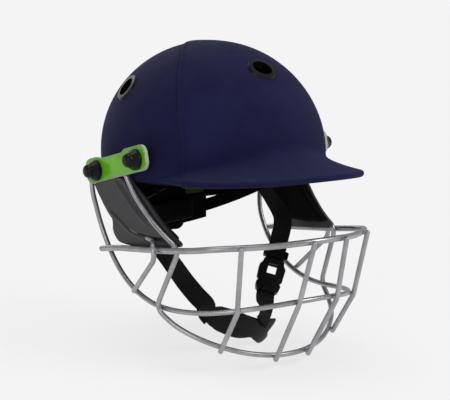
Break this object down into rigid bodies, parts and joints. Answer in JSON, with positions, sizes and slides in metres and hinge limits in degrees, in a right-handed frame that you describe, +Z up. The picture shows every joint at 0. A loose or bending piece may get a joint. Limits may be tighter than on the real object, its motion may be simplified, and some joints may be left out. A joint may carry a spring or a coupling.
{
  "type": "cricket helmet",
  "caption": "Cloth-covered cricket helmet with a short peak, a wire face guard, grey ear guards, green side covers, a fit band and a buckled chin strap.",
  "frame": {"origin": "on the plane of symmetry, level with the shell's brow rim and under the middle of the dome, in the middle of the space that holds the head", "axes": "+Z up to the crown, -Y the way the helmet faces, +X the wearer's left"},
  "size_m": [0.2594, 0.312, 0.3086],
  "materials": {
    "navy_cloth": "fine matt woven cloth",
    "shell_plastic": "moulded shell, matt",
    "black_plastic": "satin black moulding",
    "grey_plastic": "satin dark grey moulding",
    "green_cover": "gloss lime green",
    "light_plastic": "light grey moulding",
    "steel_wire": "satin silver-grey coated steel wire",
    "stud_steel": "plated steel",
    "liner_foam": "dense foam, matt",
    "pad_fabric": "padded knit, matt black",
    "webbing": "woven black webbing",
    "cup_leather": "soft black, faint sheen"
  },
  "bodies": {
    "helmet": {"outer_shell": "shell_plastic", "front_cloth_panel": "navy_cloth", "side_cloth_panel_left": "navy_cloth", "side_cloth_panel_right": "navy_cloth", "rim_binding": "pad_fabric", "vent_eyelets": "black_plastic", "vent_back_rings": "black_plastic", "clamp_studs": "stud_steel", "clamp_spacers": "black_plastic", "knob_washers": "black_plastic", "side_plate_left": "light_plastic", "side_plate_right": "light_plastic", "side_cover_left": "green_cover", "side_cover_right": "green_cover", "top_bar": "steel_wire", "middle_bar": "steel_wire", "lower_bar": "steel_wire", "cheek_wire_left": "steel_wire", "cheek_wire_right": "steel_wire", "outer_upright_left": "steel_wire", "outer_upright_right": "steel_wire", "inner_upright_left": "steel_wire", "inner_upright_right": "steel_wire", "ear_guard_left": "grey_plastic", "ear_guard_right": "grey_plastic", "ear_pad_left": "pad_fabric", "ear_pad_right": "pad_fabric", "strap_swivel_left": "black_plastic", "strap_swivel_right": "black_plastic", "temple_clip_left": "black_plastic", "temple_clip_right": "black_plastic", "liner_front": "liner_foam", "liner_crown": "liner_foam", "liner_rear": "liner_foam", "brow_pad": "pad_fabric", "crown_pad": "pad_fabric", "side_pad_left": "pad_fabric", "side_pad_right": "pad_fabric"},
    "front_knob_left": {"front_knob_left": "black_plastic"},
    "rear_knob_left": {"rear_knob_left": "black_plastic"},
    "front_knob_right": {"front_knob_right": "black_plastic"},
    "rear_knob_right": {"rear_knob_right": "black_plastic"},
    "fit_band": {"band_arm_left": "black_plastic", "band_arm_right": "black_plastic", "rear_cradle": "black_plastic", "cradle_pad": "pad_fabric", "dial_housing": "black_plastic", "dial_spindle": "black_plastic"},
    "fit_dial": {"fit_dial": "black_plastic"},
    "chin_strap": {"right_strap": "webbing", "left_upper_strap": "webbing", "left_lower_strap": "webbing", "strap_slider": "black_plastic", "buckle_socket": "black_plastic", "buckle_plug": "black_plastic", "chin_cup": "cup_leather", "chin_cup_lining": "pad_fabric"},
    "buckle_prong_left": {"buckle_prong_left": "black_plastic"},
    "buckle_prong_right": {"buckle_prong_right": "black_plastic"}
  },
  "joints": [
    {"name": "front_knob_left_turn", "type": "hinge", "parent": "helmet", "child": "front_knob_left", "pos_m": [0.1167, -0.03251, 0.02482], "axis": [1, 0, 0], "continuous": true},
    {"name": "rear_knob_left_turn", "type": "hinge", "parent": "helmet", "child": "rear_knob_left", "pos_m": [0.1167, 0.03591, 0.00738], "axis": [1, 0, 0], "continuous": true},
    {"name": "front_knob_right_turn", "type": "hinge", "parent": "helmet", "child": "front_knob_right", "pos_m": [-0.1167, -0.03251, 0.02482], "axis": [-1, 0, 0], "continuous": true},
    {"name": "rear_knob_right_turn", "type": "hinge", "parent": "helmet", "child": "rear_knob_right", "pos_m": [-0.1167, 0.03591, 0.00738], "axis": [-1, 0, 0], "continuous": true},
    {"name": "fit_band_slide", "type": "slide", "parent": "helmet", "child": "fit_band", "axis": [0, -1, 0], "range_m": [0, 0.01]},
    {"name": "fit_dial_turn", "type": "hinge", "parent": "fit_band", "child": "fit_dial", "pos_m": [0, 0.1046, -0.061], "axis": [0, 1, 0], "range_deg": [0, 270]},
    {"name": "chin_strap_swing", "type": "hinge", "parent": "helmet", "child": "chin_strap", "pos_m": [0, 0.03591, 0.00738], "axis": [1, 0, 0], "range_deg": [-16, 8]},
    {"name": "buckle_squeeze_left", "type": "hinge", "parent": "chin_strap", "child": "buckle_prong_left", "pos_m": [0.04598, -0.01959, -0.11841], "axis": [-0.4299, -0.7318, 0.5289], "range_deg": [-4, 0], "stiffness_Nm_per_rad": 0.8},
    {"name": "buckle_squeeze_right", "type": "hinge", "parent": "chin_strap", "child": "buckle_prong_right", "pos_m": [0.05946, -0.03109, -0.12336], "axis": [-0.4299, -0.7318, 0.5289], "range_deg": [0, 4], "stiffness_Nm_per_rad": 0.8}
  ],
  "couplings": [
    {"joint": "fit_dial_turn", "follows": "fit_band_slide", "rad_per_m": 471}
  ]
}
